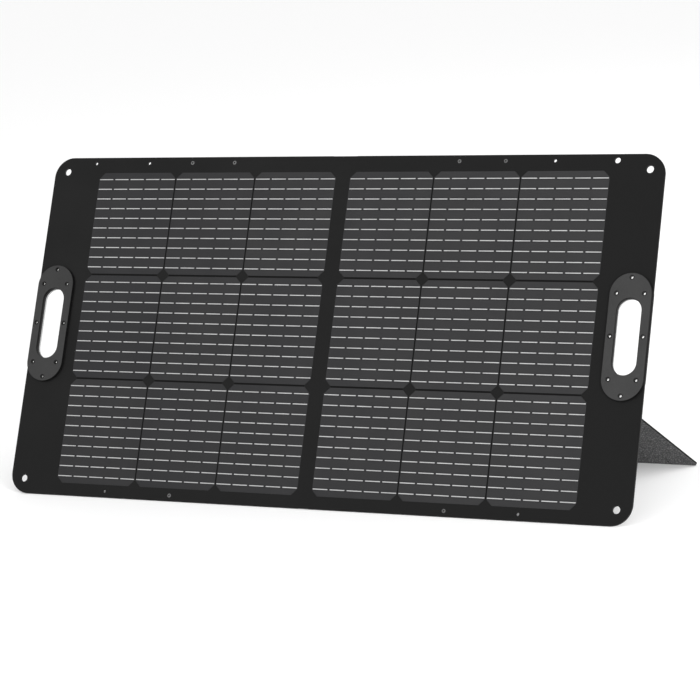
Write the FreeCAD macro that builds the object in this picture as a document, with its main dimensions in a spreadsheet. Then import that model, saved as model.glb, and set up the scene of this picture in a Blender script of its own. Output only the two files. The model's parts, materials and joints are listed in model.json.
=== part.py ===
import FreeCAD, Part
import math
import os

import Sketcher
from FreeCAD import Vector

# Folding solar panel of the suitcase kind: two rigid laminated halves joined by a flexible
# fold, one hand grip at each outer edge and a flap stand behind each half.
#
# Panel frame, used for everything but the stands: X along the width with 0 at the fold,
# Y up the panel with 0 at its bottom edge, Z out of the front face with 0 on that face.
# Stand frame: X as above, Y up the flap with 0 at its hinge line, Z towards the panel.
# The rest pose is the panel in use, leaning back on its two flaps.

doc = FreeCAD.newDocument("solar_suitcase")
sheet = doc.addObject("Spreadsheet::Sheet", "Sheet")

DIMENSIONS = {
    # whole panel
    "panel_width": 1125.0,
    "panel_height": 598.5,
    "lean": 26.8,
    "corner_radius": 35.0,
    "fold_half_gap": 9.0,
    "fold_axis_front": 6.0,
    # layers, from the front face to the back
    "sheet_thick": 0.3,
    "laminate_thick": 0.7,
    "core_thick": 2.5,
    "skin_thick": 0.5,
    "edge_inset": 0.6,
    # solar cells
    "cell_width": 151.0,
    "cell_height": 181.0,
    "cell_pitch_across": 153.0,
    "cell_pitch_up": 184.0,
    "cell_chamfer": 10.5,
    "cell_first_across": 88.9,
    "cell_middle_up": 296.0,
    "cell_thick": 0.25,
    "window_gap": 0.15,
    "ribbon_thick": 0.2,
    "ribbon_width": 5.0,
    # holes through the panel
    "corner_hole_inset": 25.8,
    "corner_hole_radius": 6.25,
    "edge_hole_inset": 10.6,
    "edge_hole_across": 375.0,
    "edge_hole_radius": 2.75,
    "outer_hole_across": 481.0,
    "outer_hole_small_radius": 2.75,
    "outer_hole_large_radius": 5.0,
    "feed_slot_width": 24.0,
    "feed_slot_height": 8.0,
    "feed_slot_up": 556.0,
    # grips
    "grip_width": 70.0,
    "grip_height": 206.0,
    "grip_edge_gap": 1.0,
    "grip_front_thick": 5.3,
    "grip_back_thick": 5.0,
    "grip_slot_width": 41.0,
    "grip_slot_height": 124.0,
    "grip_edge_round": 1.3,
    "grip_slot_clearance": 0.5,
    "eyelet_radius": 3.1,
    "eyelet_bore_radius": 2.4,
    "eyelet_rim_radius": 3.9,
    "eyelet_rim_thick": 0.35,
    "eyelet_end_up": 95.3,
    "eyelet_corner_across": 23.1,
    "eyelet_corner_up": 69.5,
    "eyelet_side_across": 27.3,
    # rivets along the top and bottom edges
    "box_rivet_near": 208.0,
    "box_rivet_far": 289.5,
    "catch_rivet_across": 249.3,
    "catch_rivet_up": 9.3,
    "catch_rivet_proud": 2.4,
    "rivet_radius": 2.2,
    "rivet_head_radius": 3.3,
    "rivet_head_thick": 0.8,
    "rivet_cup_radius": 1.6,
    "rivet_cup_depth": 1.5,
    "rivet_back_proud": 0.8,
    # flap stands
    "hinge_up": 385.0,
    "stand_gap": 3.0,
    "leg_length": 380.0,
    "stand_core_thick": 3.3,
    "stand_skin_thick": 0.6,
    "stand_inner": 60.0,
    "stand_top_outer": 249.5,
    "stand_foot_outer": 562.0,
    "stand_top_gap": 3.0,
    "stand_corner_radius": 2.5,
    "stand_hole_across": 511.0,
    "stand_hole_up": 6.5,
    "stand_hole_radius": 1.6,
    "stand_skin_inset": 0.5,
    "tape_height": 26.0,
    "tape_thick": 1.0,
    "tape_inset": 8.0,
    "tape_gap": 3.0,
    "tape_bend_below": 1.4,
    "tape_bend_back": 4.6,
    "magnet_radius": 3.0,
    "magnet_thick": 2.0,
    # strap that stops each flap
    "strap_width": 25.0,
    "strap_thick": 1.2,
    "strap_reach": 220.0,
    "strap_across": 160.0,
    "strap_patch": 34.0,
    # junction boxes on the back
    "box_middle": 248.75,
    "box_width": 124.0,
    "box_bottom": 530.0,
    "box_top": 580.0,
    "box_flange_top": 595.0,
    "box_flange_thick": 2.0,
    "box_depth": 13.0,
    "box_wall": 2.4,
    "box_post": 8.0,
    "box_corner_radius": 5.0,
    "seal_thick": 0.8,
    "seal_width": 1.6,
    "seal_inset": 0.3,
    "lid_thick": 2.4,
    "lid_edge_round": 0.8,
    "screw_radius": 1.4,
    "screw_head_radius": 2.6,
    "screw_head_thick": 1.6,
    "screw_socket_radius": 1.1,
    "screw_length": 9.0,
    "screw_head_overlap": 0.4,
    # parts inside the boxes
    "board_width": 90.0,
    "board_height": 26.0,
    "board_up": 560.0,
    "diode_up": 568.5,
    "board_thick": 1.6,
    "board_lift": 2.0,
    "diode_length": 9.0,
    "diode_radius": 2.6,
    "diode_pitch": 22.0,
    "terminal_width": 44.0,
    "terminal_height": 12.0,
    "terminal_depth": 5.5,
    "clamp_radius": 2.2,
    # output jack in the right box's side wall and its rubber cover
    "jack_up": 555.0,
    "jack_depth": 7.1,
    "jack_radius": 5.0,
    "jack_bore_radius": 4.05,
    "jack_length": 14.0,
    "jack_bore_length": 10.0,
    "cover_height": 26.0,
    "cover_thick": 2.2,
    "cover_gap": 0.4,
    "cover_near": 0.8,
    "cover_far": 12.0,
    # flexible fold between the halves
    "strip_half_width": 22.0,
    "strip_thick": 0.9,
    "strip_clearance": 0.3,
    "fold_end_inset": 1.0,
    "jumper_width": 8.0,
    "jumper_from_middle": 120.0,
}

for row, (alias, size) in enumerate(DIMENSIONS.items(), start=1):
    sheet.set(f"A{row}", alias)
    sheet.set(f"B{row}", str(size))
    sheet.setAlias(f"B{row}", alias)
doc.recompute()


def dims(expression):
    """Write every dimension's name in an expression as a reference to its cell."""
    words = []
    word = ""
    for letter in expression + " ":
        if letter.isalnum() or letter == "_":
            word += letter
            continue
        words.append(f"Sheet.{word}" if word in DIMENSIONS else word)
        words.append(letter)
        word = ""
    return "".join(words).strip()


def value(expression):
    """The number that an expression gives with the sheet as it stands."""
    result = sheet.evalExpression(dims(expression))
    return float(getattr(result, "Value", result))


def bind(thing, prop, expression):
    thing.setExpression(prop, dims(expression))


# Levels in the panel frame and places in the row frame, as expressions of the sheet.
LAMINATE_FRONT = "(0 - sheet_thick)"
CORE_FRONT = "(0 - sheet_thick - laminate_thick)"
CORE_BACK = "(0 - sheet_thick - laminate_thick - core_thick)"
PANEL_BACK = "(0 - sheet_thick - laminate_thick - core_thick - skin_thick)"
HALF_WIDTH = "(panel_width / 2)"
LEAN = "(lean * 1 deg)"
GRIP_ACROSS = "(panel_width / 2 - grip_edge_gap - grip_width / 2)"
GRIP_UP = "(panel_height / 2)"
STAND_THICK = "(stand_core_thick + 2 * stand_skin_thick)"
HINGE_DEPTH = f"(stand_gap - {PANEL_BACK})"

HINGE_HEIGHT = f"(hinge_up * cos({LEAN}) - (skin_thick + stand_gap) * sin({LEAN}))"
LEG_ANGLE = f"acos({HINGE_HEIGHT} / leg_length)"
HINGE_REACH = f"(hinge_up * sin({LEAN}) + {HINGE_DEPTH} * cos({LEAN}))"
REAR_REACH = f"({HINGE_REACH} + leg_length * sin({LEG_ANGLE}) + {STAND_THICK} * cos({LEG_ANGLE}))"
FRONT_REACH = f"(edge_inset * sin({LEAN}))"
BASE_Y = f"(0 - ({REAR_REACH} + {FRONT_REACH}) / 2)"
BASE_Z = f"((0 - {CORE_BACK}) * sin({LEAN}))"


def place(part, frame="panel", shift="0"):
    """Put a finished part in the row frame, from the panel's or a stand's own frame."""
    part.Placement = FreeCAD.Placement(Vector(), FreeCAD.Rotation(Vector(1, 0, 0), 1))
    bind(part, "Placement.Base.x", shift)
    if frame == "panel":
        bind(part, "Placement.Base.y", BASE_Y)
        bind(part, "Placement.Base.z", BASE_Z)
        bind(part, "Placement.Rotation.Angle", "(90 - lean) * 1 deg")
    else:
        bind(part, "Placement.Base.y", f"{BASE_Y} + {HINGE_REACH}")
        bind(part, "Placement.Base.z", HINGE_HEIGHT)
        bind(part, "Placement.Rotation.Angle", f"90 deg + {LEG_ANGLE}")


def new_body(label, frame="panel"):
    body = doc.addObject("PartDesign::Body", label)
    body.Label = label
    body.AllowCompound = True
    place(body, frame)
    return body


def new_sketch(body, name, level, plane="XY_Plane"):
    """A sketch on one of the body's origin planes, moved out to a level along its normal."""
    sketch = body.newObject("Sketcher::SketchObject", name)
    role_plane = [item for item in body.Origin.OriginFeatures if item.Role == plane][0]
    sketch.AttachmentSupport = [(role_plane, "")]
    sketch.MapMode = "FlatFace"
    bind(sketch, "AttachmentOffset.Base.z", level)
    return sketch


def fix(sketch, kind, geometry, vertex, expression):
    """One bound distance from the sketch's origin, or a bound radius."""
    size = value(expression)
    if kind == "Radius":
        index = sketch.addConstraint(Sketcher.Constraint(kind, geometry, size))
    else:
        index = sketch.addConstraint(Sketcher.Constraint(kind, -1, 1, geometry, vertex, size))
    bind(sketch, f"Constraints[{index}]", expression)


def draw_polygon(sketch, corners):
    """A closed outline of straight lines through corners given as pairs of expressions."""
    points = [Vector(value(x), value(y), 0) for x, y in corners]
    count = len(points)
    first = sketch.GeometryCount
    for number in range(count):
        sketch.addGeometry(Part.LineSegment(points[number], points[(number + 1) % count]))
    for number in range(count):
        after = first + (number + 1) % count
        sketch.addConstraint(Sketcher.Constraint("Coincident", first + number, 2, after, 1))
    for number, (x, y) in enumerate(corners):
        fix(sketch, "DistanceX", first + number, 1, x)
        fix(sketch, "DistanceY", first + number, 1, y)


def draw_rectangle(sketch, left, right, low, high):
    draw_polygon(sketch, [(left, low), (right, low), (right, high), (left, high)])


def draw_block(sketch, across, up, width, height):
    """A rectangle given by its middle and its size."""
    draw_rectangle(sketch, f"{across} - {width} / 2", f"{across} + {width} / 2",
                   f"{up} - {height} / 2", f"{up} + {height} / 2")


def draw_circle(sketch, across, up, radius):
    centre = Vector(value(across), value(up), 0)
    index = sketch.addGeometry(Part.Circle(centre, Vector(0, 0, 1), value(radius)))
    fix(sketch, "DistanceX", index, 3, across)
    fix(sketch, "DistanceY", index, 3, up)
    fix(sketch, "Radius", index, None, radius)


def draw_stadium(sketch, across, up, width, height):
    """An upright slot outline: two half circles joined by two straight sides."""
    x, y, radius = value(across), value(up), value(f"{width} / 2")
    reach = value(f"({height} - {width}) / 2")
    axis = Vector(0, 0, 1)
    top = Part.Circle(Vector(x, y + reach, 0), axis, radius)
    bottom = Part.Circle(Vector(x, y - reach, 0), axis, radius)
    upper = sketch.addGeometry(Part.ArcOfCircle(top, 0, math.pi))
    left = sketch.addGeometry(Part.LineSegment(Vector(x - radius, y + reach, 0),
                                               Vector(x - radius, y - reach, 0)))
    lower = sketch.addGeometry(Part.ArcOfCircle(bottom, math.pi, 2 * math.pi))
    right = sketch.addGeometry(Part.LineSegment(Vector(x + radius, y - reach, 0),
                                                Vector(x + radius, y + reach, 0)))
    loop = [upper, left, lower, right]
    for number, item in enumerate(loop):
        sketch.addConstraint(Sketcher.Constraint("Tangent", item, 2, loop[(number + 1) % 4], 1))
    sketch.addConstraint(Sketcher.Constraint("Equal", upper, lower))
    fix(sketch, "DistanceX", upper, 3, across)
    fix(sketch, "DistanceX", lower, 3, across)
    fix(sketch, "DistanceY", upper, 3, f"{up} + ({height} - {width}) / 2")
    fix(sketch, "DistanceY", lower, 3, f"{up} - ({height} - {width}) / 2")
    fix(sketch, "Radius", upper, None, f"{width} / 2")


def pad(body, sketch, length):
    feature = body.newObject("PartDesign::Pad", "Pad")
    feature.Profile = sketch
    bind(feature, "Length", length)
    doc.recompute()
    return feature


def pocket(body, sketch, length):
    """Cut a sketch out along its positive normal, and make sure that it cuts."""
    before = body.Shape.Volume
    feature = body.newObject("PartDesign::Pocket", "Pocket")
    feature.Profile = sketch
    feature.Reversed = True
    bind(feature, "Length", length)
    doc.recompute()
    if body.Shape.Volume >= before - 1e-6:
        raise RuntimeError(f"{body.Label}: {sketch.Label} cuts nothing")
    return feature


def round_edges(body, radius, wanted):
    """Round the tip's edges that a test picks out."""
    tip = body.Tip
    names = [f"Edge{number}" for number, edge in enumerate(tip.Shape.Edges, start=1) if wanted(edge)]
    feature = body.newObject("PartDesign::Fillet", "Fillet")
    feature.Base = (tip, names)
    bind(feature, "Radius", radius)
    doc.recompute()


def upright(edge):
    """True for a straight edge that runs through the thickness."""
    start, end = edge.Vertexes[0].Point, edge.Vertexes[-1].Point
    return abs(start.x - end.x) < 1e-6 and abs(start.y - end.y) < 1e-6


def spread(body, feature, sketch):
    """Repeat a feature over the three by three places of one half's cells."""
    steps = []
    for axis, pitch in (("H_Axis", "cell_pitch_across"), ("V_Axis", "cell_pitch_up")):
        step = body.newObject("PartDesign::LinearPattern", "LinearPattern")
        step.Direction = (sketch, [axis])
        step.Occurrences = 3
        bind(step, "Length", f"{pitch} * 2")
        steps.append(step)
    whole = body.newObject("PartDesign::MultiTransform", "MultiTransform")
    whole.Originals = [feature]
    whole.Transformations = steps
    body.Tip = whole
    doc.recompute()


def mirror(part, label):
    """The left half's twin of a part of the right half."""
    twin = doc.addObject("Part::Mirroring", label)
    twin.Label = label
    twin.Source = part
    twin.Normal = Vector(1, 0, 0)
    twin.Base = Vector()
    return twin


def eyelet_places():
    """The eight eyelets round one grip: two at its ends, four at its corners, two at its sides."""
    places = []
    for sign in ("+", "-"):
        places.append((GRIP_ACROSS, f"{GRIP_UP} {sign} eyelet_end_up"))
        places.append((f"{GRIP_ACROSS} {sign} eyelet_side_across", GRIP_UP))
        for other in ("+", "-"):
            places.append((f"{GRIP_ACROSS} {sign} eyelet_corner_across",
                           f"{GRIP_UP} {other} eyelet_corner_up"))
    return places


def rivet_places():
    """Two rivets hold the junction box at the top edge and one is the flap's catch below."""
    top = "panel_height - edge_hole_inset"
    return [("box_rivet_near", top), ("box_rivet_far", top), ("catch_rivet_across", "catch_rivet_up")]


def draw_cell(sketch, gap):
    """One cell's outline, the lowest and nearest to the fold, grown by a gap."""
    across = "cell_first_across"
    up = "(cell_middle_up - cell_pitch_up)"
    wide = f"(cell_width / 2 + {gap})"
    tall = f"(cell_height / 2 + {gap})"
    corners = []
    for sx, sy, level_first in (("+", "-", False), ("+", "+", True), ("-", "+", False), ("-", "-", True)):
        inner_x = f"{across} {sx} ({wide} - cell_chamfer)"
        inner_y = f"{up} {sy} ({tall} - cell_chamfer)"
        outer_x = f"{across} {sx} {wide}"
        outer_y = f"{up} {sy} {tall}"
        pair = [(outer_x, inner_y), (inner_x, outer_y)]
        corners += pair if level_first else pair[::-1]
    draw_polygon(sketch, corners)


# --- the laminated panel -------------------------------------------------------------

def panel_layer(name, front, thick, inset, outer_radius, extra=None):
    """One layer of the right half with every hole that goes through the panel."""
    body = new_body(name)
    low = f"{front} - {thick}"
    outline = new_sketch(body, "Outline", low)
    draw_rectangle(outline, "fold_half_gap", f"{HALF_WIDTH} - {inset}", inset, f"panel_height - {inset}")
    pad(body, outline, thick)
    middle = value("panel_width / 4")
    round_edges(body, f"corner_radius - {inset}",
                lambda edge: upright(edge) and edge.Vertexes[0].Point.x > middle)
    holes = new_sketch(body, "Holes", low)
    top = "panel_height - corner_hole_inset"
    for up in ("corner_hole_inset", top):
        draw_circle(holes, f"{HALF_WIDTH} - corner_hole_inset", up, "corner_hole_radius")
    for up in ("edge_hole_inset", "panel_height - edge_hole_inset"):
        draw_circle(holes, "edge_hole_across", up, "edge_hole_radius")
    draw_circle(holes, "outer_hole_across", "panel_height - edge_hole_inset", outer_radius)
    for across, up in eyelet_places():
        draw_circle(holes, across, up, "eyelet_radius")
    draw_stadium(holes, GRIP_ACROSS, GRIP_UP, "(grip_slot_width + grip_slot_clearance)",
                 "(grip_slot_height + grip_slot_clearance)")
    if extra:
        extra(holes)
    pocket(body, holes, thick)
    return body


def feed_and_rivets(sketch):
    """The conductors' way to the box and the shanks of the three rivets."""
    draw_block(sketch, "box_middle", "feed_slot_up", "feed_slot_width", "feed_slot_height")
    for across, up in rivet_places():
        draw_circle(sketch, across, up, "rivet_radius")


def rivet_heads(sketch):
    for across, up in rivet_places():
        draw_circle(sketch, across, up, "rivet_head_radius")


def front_sheet(name, outer_radius):
    """Smooth black front sheet with a window for each cell."""
    body = panel_layer(name, "0", "sheet_thick", "edge_inset", outer_radius, rivet_heads)
    window = new_sketch(body, "Window", LAMINATE_FRONT)
    draw_cell(window, "window_gap")
    spread(body, pocket(body, window, "sheet_thick"), window)
    return body


def ribbon_runs(sketch):
    """Bus ribbons: one joins the lower rows outside, one the upper rows inside, two feed the box."""
    outer = "(cell_first_across + 2.5 * cell_pitch_across)"
    inner = "(cell_first_across - cell_width / 2)"
    low = "(cell_middle_up - 1.4 * cell_pitch_up)"
    high = "(cell_middle_up + 1.4 * cell_pitch_up)"
    draw_rectangle(sketch, outer, f"{outer} + ribbon_width", low, "cell_middle_up")
    draw_rectangle(sketch, f"{inner} + ribbon_width", f"{inner} + 2 * ribbon_width",
                   "cell_middle_up", high)
    for sign in ("-", "+"):
        draw_block(sketch, f"box_middle {sign} ribbon_width", "(cell_middle_up + 1.45 * cell_pitch_up)",
                   "ribbon_width", "ribbon_width * 4")


def laminate(name, outer_radius):
    """Encapsulant under the cells, with grooves that the ribbons lie in."""
    body = panel_layer(name, LAMINATE_FRONT, "laminate_thick", "edge_inset", outer_radius, rivet_heads)
    groove = new_sketch(body, "Groove", f"{LAMINATE_FRONT} - ribbon_thick")
    ribbon_runs(groove)
    pocket(body, groove, "ribbon_thick")
    return body


def core_board(name, outer_radius):
    """Stiff glass-fibre board with a rebate at the fold for the flexible strip."""
    body = panel_layer(name, CORE_FRONT, "core_thick", "0", outer_radius, feed_and_rivets)
    rebate = new_sketch(body, "Rebate", f"{CORE_FRONT} - strip_thick")
    draw_rectangle(rebate, "fold_half_gap - 1", "strip_half_width + strip_clearance",
                   "0 - 1", "panel_height + 1")
    pocket(body, rebate, "strip_thick")
    return body


def back_skin(name, outer_radius):
    return panel_layer(name, CORE_BACK, "skin_thick", "edge_inset", outer_radius, feed_and_rivets)


def cells(name):
    body = new_body(name)
    outline = new_sketch(body, "Outline", LAMINATE_FRONT)
    draw_cell(outline, "0")
    spread(body, pad(body, outline, "cell_thick"), outline)
    return body


def ribbons(name):
    body = new_body(name)
    runs = new_sketch(body, "Runs", f"{LAMINATE_FRONT} - ribbon_thick")
    ribbon_runs(runs)
    pad(body, runs, "ribbon_thick")
    return body


# --- grips, eyelets and rivets -------------------------------------------------------

def grip(name, low, thick, outer_level):
    """A pill-shaped plate with a finger slot, rounded where the hand meets it."""
    body = new_body(name)
    outline = new_sketch(body, "Outline", low)
    draw_stadium(outline, GRIP_ACROSS, GRIP_UP, "grip_width", "grip_height")
    pad(body, outline, thick)
    slot = new_sketch(body, "Slot", low)
    draw_stadium(slot, GRIP_ACROSS, GRIP_UP, "grip_slot_width", "grip_slot_height")
    pocket(body, slot, thick)
    level = value(outer_level)
    round_edges(body, "grip_edge_round", lambda edge: abs(edge.CenterOfMass.z - level) < 1e-3)
    holes = new_sketch(body, "EyeletHoles", low)
    for across, up in eyelet_places():
        draw_circle(holes, across, up, "eyelet_radius")
    pocket(body, holes, thick)
    return body


def ring_pad(body, name, places, level, length, outer, inner):
    """Upright rings, one at each place."""
    sketch = new_sketch(body, name, level)
    for across, up in places:
        draw_circle(sketch, across, up, outer)
        if inner:
            draw_circle(sketch, across, up, inner)
    pad(body, sketch, length)


def grip_eyelets(name):
    """Hollow rivets, open right through, with a thin rim on each side."""
    body = new_body(name)
    back = f"({PANEL_BACK} - grip_back_thick)"
    places = eyelet_places()
    ring_pad(body, "Tube", places, back, f"grip_front_thick - {back}", "eyelet_radius",
             "eyelet_bore_radius")
    for level in ("grip_front_thick", f"{back} - eyelet_rim_thick"):
        ring_pad(body, "Rim", places, level, "eyelet_rim_thick", "eyelet_rim_radius",
                 "eyelet_bore_radius")
    return body


def edge_rivets(name):
    """Blind rivets: a sunk head with a cup at the front, a shank and a spread tail behind."""
    body = new_body(name)
    head_back = "(0 - rivet_head_thick)"
    tail_front = f"({PANEL_BACK} - box_flange_thick)"
    box_rivets = rivet_places()[:2]
    catch = rivet_places()[2:]
    ring_pad(body, "Heads", rivet_places(), CORE_FRONT, f"0 - {CORE_FRONT}", "rivet_head_radius", None)
    ring_pad(body, "BoxShanks", box_rivets, tail_front, f"{CORE_FRONT} - {tail_front}",
             "rivet_radius", None)
    ring_pad(body, "BoxTails", box_rivets, f"{tail_front} - rivet_back_proud", "rivet_back_proud",
             "rivet_head_radius", None)
    ring_pad(body, "CatchShank", catch, PANEL_BACK, f"{CORE_FRONT} - {PANEL_BACK}",
             "rivet_radius", None)
    ring_pad(body, "CatchTail", catch, f"{PANEL_BACK} - catch_rivet_proud", "catch_rivet_proud",
             "rivet_head_radius", None)
    cups = new_sketch(body, "Cups", "0 - rivet_cup_depth")
    for across, up in rivet_places():
        draw_circle(cups, across, up, "rivet_cup_radius")
    pocket(body, cups, "rivet_cup_depth")
    return body


# --- flap stands ---------------------------------------------------------------------

def stand_layer(name, low, thick, inset):
    """One layer of a flap: narrow at the hinge, its outer side running out to a wide foot."""
    body = new_body(name, "stand")
    outline = new_sketch(body, "Outline", low)
    foot = f"0 - leg_length + {inset}"
    top = f"0 - stand_top_gap - {inset}"
    draw_polygon(outline, [(f"stand_inner + {inset}", foot), (f"stand_foot_outer - {inset}", foot),
                           (f"stand_top_outer - {inset}", top), (f"stand_inner + {inset}", top)])
    pad(body, outline, thick)
    round_edges(body, f"stand_corner_radius - {inset}", upright)
    hole = new_sketch(body, "PegHole", low)
    draw_circle(hole, "stand_hole_across", "0 - leg_length + stand_hole_up", "stand_hole_radius")
    pocket(body, hole, thick)
    return body


def stand_core(name):
    body = stand_layer(name, f"0 - {STAND_THICK} + stand_skin_thick", "stand_core_thick", "0")
    seat = new_sketch(body, "MagnetSeat", "0 - stand_skin_thick - magnet_thick")
    draw_circle(seat, "catch_rivet_across", "catch_rivet_up - hinge_up", "magnet_radius")
    pocket(body, seat, "magnet_thick")
    return body


def stand_magnet(name):
    body = new_body(name, "stand")
    ring_pad(body, "Disc", [("catch_rivet_across", "catch_rivet_up - hinge_up")],
             "0 - stand_skin_thick - magnet_thick", "magnet_thick", "magnet_radius", None)
    return body


def hinge_leaf(name, frame):
    """One side of the woven hinge tape, bonded to the panel's back or to the flap."""
    body = new_body(name, frame)
    if frame == "panel":
        level = f"{PANEL_BACK} - tape_thick"
        low, high = "hinge_up + tape_gap", "hinge_up + tape_gap + tape_height"
    else:
        level = "0"
        low, high = "0 - tape_gap - tape_height", "0 - tape_gap"
    outline = new_sketch(body, "Outline", level)
    draw_rectangle(outline, "stand_inner + tape_inset", "stand_top_outer - tape_inset", low, high)
    pad(body, outline, "tape_thick")
    return body


def hinge_web(name):
    """The part of the tape that bends, between its two bonded sides."""
    body = new_body(name)
    outline = new_sketch(body, "Outline", f"{PANEL_BACK} - tape_bend_back")
    draw_rectangle(outline, "stand_inner + tape_inset", "stand_top_outer - tape_inset",
                   "hinge_up - tape_bend_below", "hinge_up + tape_gap")
    pad(body, outline, "tape_bend_back")
    return body


def limit_strap(name):
    """Webbing strap, taut when the flap is out: a patch on the panel, a span, a patch on the flap."""
    body = new_body(name)
    opening = f"({LEAN} + {LEG_ANGLE})"
    axis_z = f"({PANEL_BACK} - stand_gap)"
    low = "(hinge_up - strap_reach)"
    face_y = f"(hinge_up - strap_reach * cos({opening}))"
    face_z = f"({axis_z} - strap_reach * sin({opening}))"
    end_y = f"({face_y} - strap_patch * cos({opening}))"
    end_z = f"({face_z} - strap_patch * sin({opening}))"
    off_y = f"(strap_thick * sin({opening}))"
    off_z = f"(strap_thick * cos({opening}))"
    # the side view, drawn on the YZ plane: panel patch, span, flap patch
    corners = [
        (f"{low} - strap_patch", PANEL_BACK),
        (low, PANEL_BACK),
        (face_y, face_z),
        (end_y, end_z),
        (f"{end_y} - {off_y}", f"{end_z} + {off_z}"),
        (f"{face_y} - 1.2 * {off_y}", f"{face_z} + {off_z}"),
        (f"{low} - 0.4 * strap_thick", f"{PANEL_BACK} - strap_thick"),
        (f"{low} - strap_patch", f"{PANEL_BACK} - strap_thick"),
    ]
    outline = new_sketch(body, "SideView", "strap_across - strap_width / 2", "YZ_Plane")
    draw_polygon(outline, corners)
    pad(body, outline, "strap_width")
    return body


# --- junction boxes ------------------------------------------------------------------

BOX_LEFT = "(box_middle - box_width / 2)"
BOX_RIGHT = "(box_middle + box_width / 2)"
BOX_RIM = f"({PANEL_BACK} - box_depth)"
JACK_LEVEL = f"({PANEL_BACK} - jack_depth)"


def box_outline(sketch, inset, top="box_top"):
    draw_rectangle(sketch, f"{BOX_LEFT} + {inset}", f"{BOX_RIGHT} - {inset}",
                   f"box_bottom + {inset}", f"{top} - {inset}")


def screw_places():
    inset = "(box_wall + box_post / 2)"
    return [(x, y) for x in (f"{BOX_LEFT} + {inset}", f"{BOX_RIGHT} - {inset}")
            for y in (f"box_bottom + {inset}", f"box_top - {inset}")]


def box_base(name, with_port):
    """Open tray riveted to the panel by its top flange, with a screw post in each corner."""
    body = new_body(name)
    floor = new_sketch(body, "Floor", f"{PANEL_BACK} - box_flange_thick")
    box_outline(floor, "0", "box_flange_top")
    pad(body, floor, "box_flange_thick")
    walls = new_sketch(body, "Walls", BOX_RIM)
    box_outline(walls, "0")
    pad(body, walls, "box_depth - box_flange_thick")
    round_edges(body, "box_corner_radius", upright)
    cavity = new_sketch(body, "Cavity", BOX_RIM)
    box_outline(cavity, "box_wall")
    pocket(body, cavity, "box_depth - box_flange_thick")
    posts = new_sketch(body, "Posts", BOX_RIM)
    for across, up in screw_places():
        draw_block(posts, across, up, "box_post", "box_post")
    pad(body, posts, "box_depth - box_flange_thick")
    bores = new_sketch(body, "ScrewBores", BOX_RIM)
    for across, up in screw_places():
        draw_circle(bores, across, up, "screw_radius")
    pocket(body, bores, "screw_length - lid_thick - seal_thick")
    through = new_sketch(body, "FloorHoles", f"{PANEL_BACK} - box_flange_thick")
    draw_block(through, "box_middle", "feed_slot_up", "feed_slot_width", "feed_slot_height")
    for across, up in rivet_places()[:2]:
        draw_circle(through, across, up, "rivet_radius")
    pocket(body, through, "box_flange_thick")
    if with_port:
        port = new_sketch(body, "Port", f"{BOX_RIGHT} - box_wall", "YZ_Plane")
        draw_circle(port, "jack_up", JACK_LEVEL, "jack_radius")
        pocket(body, port, "box_wall")
    return body


def box_seal(name):
    body = new_body(name)
    ring = new_sketch(body, "Ring", f"{BOX_RIM} - seal_thick")
    box_outline(ring, "seal_inset")
    box_outline(ring, "(seal_inset + seal_width)")
    pad(body, ring, "seal_thick")
    return body


def box_lid(name):
    body = new_body(name)
    plate = new_sketch(body, "Plate", f"{BOX_RIM} - seal_thick - lid_thick")
    box_outline(plate, "0")
    pad(body, plate, "lid_thick")
    round_edges(body, "box_corner_radius", upright)
    outer_level = value(f"{BOX_RIM} - seal_thick - lid_thick")
    round_edges(body, "lid_edge_round", lambda edge: abs(edge.CenterOfMass.z - outer_level) < 1e-3)
    holes = new_sketch(body, "ScrewHoles", f"{BOX_RIM} - seal_thick - lid_thick")
    for across, up in screw_places():
        draw_circle(holes, across, up, "screw_radius")
    pocket(body, holes, "lid_thick")
    seats = new_sketch(body, "ScrewSeats", f"{BOX_RIM} - seal_thick - lid_thick")
    for across, up in screw_places():
        draw_circle(seats, across, up, "screw_head_radius")
    pocket(body, seats, "screw_head_thick")
    return body


def box_screws(name):
    """Four socket-head screws whose heads lie flush in the lid."""
    body = new_body(name)
    outer = f"({BOX_RIM} - seal_thick - lid_thick)"
    ring_pad(body, "Heads", screw_places(), outer, "screw_head_thick", "screw_head_radius",
             "screw_socket_radius")
    ring_pad(body, "Shanks", screw_places(), f"{outer} + screw_head_thick - screw_head_overlap",
             "screw_length - screw_head_thick + screw_head_overlap", "screw_radius", None)
    return body


BOARD_LEVEL = f"({PANEL_BACK} - box_flange_thick - board_lift)"


def circuit_board(name):
    """Circuit board on the box floor's bosses, above the conductors."""
    body = new_body(name)
    outline = new_sketch(body, "Outline", f"{BOARD_LEVEL} - board_thick")
    draw_block(outline, "box_middle", "board_up", "board_width", "board_height")
    draw_block(outline, "box_middle", "feed_slot_up", "feed_slot_width", "feed_slot_height")
    pad(body, outline, "board_thick")
    return body


def bypass_diodes(name):
    """Three diodes lying in a row on the board."""
    body = new_body(name)
    ends = new_sketch(body, "Ends", "box_middle - diode_length / 2 - diode_pitch", "YZ_Plane")
    draw_circle(ends, "diode_up", f"{BOARD_LEVEL} - board_thick - diode_radius", "diode_radius")
    first = pad(body, ends, "diode_length")
    row = body.newObject("PartDesign::LinearPattern", "LinearPattern")
    row.Originals = [first]
    row.Direction = (ends, ["N_Axis"])
    row.Occurrences = 3
    bind(row, "Length", "diode_pitch * 2")
    body.Tip = row
    doc.recompute()
    return body


def terminal_block(name):
    """Terminal strip with four clamp wells, over the slot that the ribbons come up through."""
    body = new_body(name)
    outer = f"{BOARD_LEVEL} - board_thick - terminal_depth"
    outline = new_sketch(body, "Outline", outer)
    draw_block(outline, "box_middle", "feed_slot_up", "terminal_width", "terminal_height")
    pad(body, outline, "terminal_depth")
    wells = new_sketch(body, "Wells", outer)
    for step in ("-1.5", "-0.5", "+0.5", "+1.5"):
        draw_circle(wells, f"box_middle {step} * terminal_width / 4", "feed_slot_up", "clamp_radius")
    pocket(body, wells, "terminal_depth / 2")
    return body


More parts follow.
